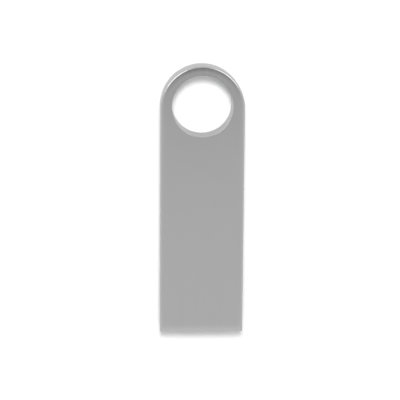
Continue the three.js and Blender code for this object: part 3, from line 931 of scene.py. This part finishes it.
def make_dies():
    """The three silicon dies and the rows of bond pads on their lower faces."""
    for node in ("controller_die", "memory_die_upper", "memory_die_lower"):
        use(slab_from(node + "_chip", node, corner=0.03, rim=0.006), silicon, "silicon", node)
    pads = Shape()
    for node in ("memory_die_upper", "memory_die_lower"):
        add_bond_pads(pads, node, count=36, from_side=0.35, from_edge=0.12)
    add_bond_pads(pads, "controller_die", count=14, from_side=0.18, from_edge=0.06, both_edges=True)
    use(smooth(pads.build("die_bond_pads"), keep_flat=False), tin, "nickel_lid")


def make_crystal():
    """The clock crystal: ceramic package with notched corners, metal seal ring and welded lid."""
    low, high = cad_box("crystal_base")
    base = slab_from("crystal_package", "crystal_base", corner=0.15, rim=0.02)
    notches = []
    for x in (low.x, high.x):
        for y in (low.y, high.y):
            shape = Shape()
            shape.disc(x, y, NOTCH_RADIUS, low.z - CUT_PAST, high.z + CUT_PAST, rim=0.02)
            notches.append(shape.build("notch_cutter"))
    use(smooth(cut(base, *notches)), ceramic_white, "white_ceramic", "crystal_base")

    lid = slab_from("crystal_cover", "crystal_lid", corner=0.2, rim=0.05)
    use(lid, tin, "nickel_lid", "crystal_lid")
    low, high = cad_box("crystal_lid")
    ring = Shape()
    ring.slab(
        (low.x - SEAL_MARGIN, low.y - SEAL_MARGIN, high.z - SEAL_BELOW),
        (high.x + SEAL_MARGIN, high.y + SEAL_MARGIN, high.z + SEAL_ABOVE), corner=0.24, rim=0.015,
    )
    use(smooth(ring.build("crystal_seal_ring")), gold, "gold")


def make_chip(node, material, slot):
    """A two-terminal chip: ceramic body, and tin terminals that wrap its two ends."""
    low, high = cad_box(node)
    body = Shape()
    body.slab([v + CHIP_INSET for v in low], [v - CHIP_INSET for v in high], corner=0.03, rim=0.025)
    use(smooth(body.build(node + "_body")), material, slot, node)
    terminals = Shape()
    for y0, y1 in ((low.y, low.y + TERMINAL_LENGTH), (high.y - TERMINAL_LENGTH, high.y)):
        terminals.slab((low.x, y0, low.z), (high.x, y1, high.z), corner=0.05, rim=0.045)
    use(smooth(terminals.build(node + "_terminals")), tin, "nickel_lid")


# ---------------------------------------------------------------- the drive

nickel = satin_nickel()
plastic = moulded_plastic()
laminate = board_laminate()
copper_green = masked_copper()
gold = contact_gold()
epoxy = filled_epoxy()
silicon = polished_silicon()
tin = dull_tin()
tape = adhesive_tape()
ceramic_white = fired_ceramic("alumina", (0.44, 0.41, 0.34), (0.56, 0.53, 0.46), (0.70, 0.68, 0.62))
ceramic_brown = fired_ceramic("capacitor_ceramic", (0.30, 0.19, 0.10), (0.42, 0.29, 0.17), (0.55, 0.44, 0.30))
glaze_black = fired_ceramic(
    "resistor_glaze", (0.012, 0.012, 0.014), (0.024, 0.024, 0.027), (0.5, 0.5, 0.48), roughness=0.3
)
ferrite_grey = fired_ceramic("ferrite", (0.060, 0.056, 0.060), (0.105, 0.100, 0.104), (0.20, 0.19, 0.20))
fuse_green = fired_ceramic(
    "fuse_green", (0.030, 0.110, 0.055), (0.050, 0.160, 0.080), (0.12, 0.26, 0.16), roughness=0.4
)

use(make_housing(), nickel, "satin_metal", "housing")
dress("carrier_tray", plastic, edge=0.04)
dress("module_cover", plastic, edge=0.05)
dress("circuit_board", laminate, edge=0.012)
make_mould_cap()
make_contact_pads()
make_top_tracks()
make_under_tracks()
make_dies()
make_crystal()
film = slab_from("adhesive_tape", "adhesive_film", corner=0.5, rim=0.008)
use(film, tape, "clear_film", "adhesive_film")
for name in ("supply", "core", "memory"):
    make_chip(name + "_capacitor", ceramic_brown, "capacitor_ceramic")
for name in ("crystal_capacitor_left", "crystal_capacitor_right"):
    make_chip(name, ceramic_brown, "capacitor_ceramic")
for name in ("data_minus_resistor", "data_plus_resistor", "reset_resistor"):
    make_chip(name, glaze_black, "resistor_glaze")
make_chip("ferrite_bead", ferrite_grey, "ferrite")
make_chip("resettable_fuse", fuse_green, "fuse_green")


# ---------------------------------------------------------------- studio

FLOOR_HALF = 900.0  # half its side
FLOOR_GAP = 0.01  # between the floor and the drive
FLOOR_TONES = ((0.865, 0.865, 0.865), (0.875, 0.875, 0.875))
FLOOR_IN_METAL = (0.74, 0.74, 0.74)

TENT = (  # (angle from straight up in degrees, brightness) of the white tent round the drive
    (0, 0.755), (12, 0.735), (20, 0.675), (31, 0.89), (50, 0.88),
    (70, 0.74), (84, 0.55), (96, 0.55), (130, 0.70), (180, 0.75),
)
TENT_ON_MATT = 0.50  # the tent's share of light on matt things, which the key and top lights make up
SWEEP_LOW = 0.68  # what the camera sees at the horizon, as bright as the far floor
SWEEP_HIGH = 0.95  # and what it sees higher up
SWEEP_HEIGHT = 0.3  # sine of the angle above the horizon at which it gets there
LENS_AZIMUTH, LENS_ANGLE = 12.0, 9.7  # of the dark reflection of the camera, as compass() takes them
LENS_CORE, LENS_EDGE = 11.5, 18.0  # half angles within which it is darkest and at which it ends
LENS_SHADE = 0.34  # the share of the tent's brightness that is left in it

KEY_PLACE = Vector((-8, 89, 232))
KEY_SIZE = 56  # across
KEY_POWER = 0.42  # in watts
TOP_PLACE = Vector((0, 0, 300))
TOP_STRENGTH = 0.98  # in watts per square metre
TOP_SPREAD = 40  # in degrees
SOFTBOXES = (("left_softbox", -44, 2.35), ("right_softbox", 44, 1.95))  # name, azimuth, brightness
SOFTBOX_ANGLE = 38  # from straight up
SOFTBOX_SIDE, SOFTBOX_DISTANCE = 140.0, 300.0

CAMERA_DISTANCE = 207.6
CAMERA_TILT, CAMERA_SIDE, CAMERA_ROLL = 11.25, 2.26, 0.05  # in degrees
CAMERA_SHIFT = Vector((0.13, 0.68, 0.0))  # of the drive's middle from the view's, to the right and up
CAMERA_LENS = 126.9  # on a sensor 36 mm wide


def compass(azimuth, from_top):
    """Unit direction at an azimuth from +Y towards +X and an angle from straight up, both in degrees."""
    a, t = math.radians(azimuth), math.radians(from_top)
    return Vector((math.sin(a) * math.sin(t), math.cos(a) * math.sin(t), math.cos(t)))


def make_floor():
    """A large pale floor just under the drive.

    The metal sees it darker than the camera does. It isn't there for a camera that looks up from below it.
    """
    shape = Shape()
    corners = ((-1, -1), (1, -1), (1, 1), (-1, 1))
    shape.cap(shape.row([(x * FLOOR_HALF, y * FLOOR_HALF, -FLOOR_GAP) for x, y in corners]))
    floor = shape.build("studio_floor")
    m = Material("floor_white")
    paper = m.blend(m.noise(m.mm, 0.6, detail=4.0), *FLOOR_TONES)
    in_metal = m.add("LightPath").outputs["Is Glossy Ray"]
    tone = m.blend(in_metal, paper, FLOOR_IN_METAL)
    surface = m.add("BsdfPrincipled", Base_Color=tone, Roughness=0.9, Specular_IOR_Level=0.1)
    to_world = {"vector_type": "POINT", "convert_from": "CAMERA", "convert_to": "WORLD"}
    camera_place = m.add("VectorTransform", to_world, Vector=(0.0, 0.0, 0.0)).outputs[0]
    from_below = m.calc("LESS_THAN", m.part(camera_place, "Z"), 0.0)
    floor.data.materials.append(m.output(m.mix_shaders(from_below, surface, m.add("BsdfTransparent"))))


def make_world():
    """A soft white tent with the camera's dark reflection near its top, and a pale sweep behind the floor.

    The camera sees the sweep, and everything else sees the tent.
    """
    world = bpy.data.worlds.new("tent")
    bpy.context.scene.world = world
    w = Nodes(world)
    direction = w.add("TexCoord").outputs["Generated"]
    height = w.part(direction, "Z")
    rays = w.add("LightPath").outputs

    ramp = w.add("ValToRGB", Fac=w.calc("DIVIDE", w.calc("ARCCOSINE", height), math.pi))
    ramp.color_ramp.interpolation = "EASE"
    elements = ramp.color_ramp.elements
    while len(elements) < len(TENT):
        elements.new(0.5)
    for element, (angle, brightness) in zip(elements, TENT):
        element.position = angle / 180
        element.color = (brightness, brightness, brightness, 1)

    towards_lens = w.add("VectorMath", {"operation": "DOT_PRODUCT"})
    w.put(towards_lens.inputs[0], direction)
    w.put(towards_lens.inputs[1], compass(LENS_AZIMUTH, LENS_ANGLE))
    edge, core = math.cos(math.radians(LENS_EDGE)), math.cos(math.radians(LENS_CORE))
    shade = w.ramp(towards_lens.outputs["Value"], edge, core, 1.0, LENS_SHADE)
    share = w.ramp(rays["Is Diffuse Ray"], 0.0, 1.0, 1.0, TENT_ON_MATT)
    tent = w.add("Background", Color=ramp.outputs[0], Strength=w.calc("MULTIPLY", shade, share))

    glow = w.ramp(height, 0.0, SWEEP_HEIGHT, SWEEP_LOW, SWEEP_HIGH)
    sweep = w.add("Background", Color=(1, 1, 1, 1), Strength=glow)
    seen = w.mix_shaders(rays["Is Camera Ray"], tent, sweep)
    w.add("OutputWorld", Surface=seen.outputs[0])


def add_light(name, light, place):
    """Puts a light at a place in millimetres, pointing at the drive's middle."""
    obj = bpy.data.objects.new(name, light)
    bpy.context.scene.collection.objects.link(obj)
    obj.location = place * MM
    obj.rotation_euler = place.to_track_quat("Z", "Y").to_euler()
    return obj


def make_lights():
    """A soft key that throws the shadow towards the mouth, a top light and two softboxes for the end arc."""
    key = bpy.data.lights.new("key", "AREA")
    key.shape = "DISK"
    key.size = KEY_SIZE * MM
    key.energy = KEY_POWER
    add_light("key", key, KEY_PLACE).visible_glossy = False

    top = bpy.data.lights.new("top", "SUN")
    top.energy = TOP_STRENGTH
    top.angle = math.radians(TOP_SPREAD)
    add_light("top", top, TOP_PLACE).visible_glossy = False

    for name, azimuth, brightness in SOFTBOXES:
        box = bpy.data.lights.new(name, "AREA")
        box.shape = "SQUARE"
        box.size = SOFTBOX_SIDE * MM
        box.energy = brightness * math.pi * box.size**2
        place = compass(azimuth, SOFTBOX_ANGLE) * SOFTBOX_DISTANCE
        add_light(name, box, place).visible_diffuse = False


def make_camera():
    """The camera over the front face, tilted towards the key-ring end."""
    turn = (
        Matrix.Rotation(math.radians(CAMERA_ROLL), 3, "Z")
        @ Matrix.Rotation(math.radians(CAMERA_SIDE), 3, "Y")
        @ Matrix.Rotation(math.radians(CAMERA_TILT), 3, "X")
    ).transposed()
    data = bpy.data.cameras.new("camera")
    data.sensor_width = 36.0
    data.lens = CAMERA_LENS
    data.clip_start, data.clip_end = 10 * MM, 5000 * MM
    camera = bpy.data.objects.new("camera", data)
    bpy.context.scene.collection.objects.link(camera)
    place = turn @ (Vector((0, 0, CAMERA_DISTANCE)) - CAMERA_SHIFT) * MM
    camera.matrix_world = Matrix.Translation(place) @ turn.to_4x4()
    bpy.context.scene.camera = camera


make_floor()
make_world()
make_lights()
make_camera()
bpy.context.scene.view_settings.view_transform = "Standard"
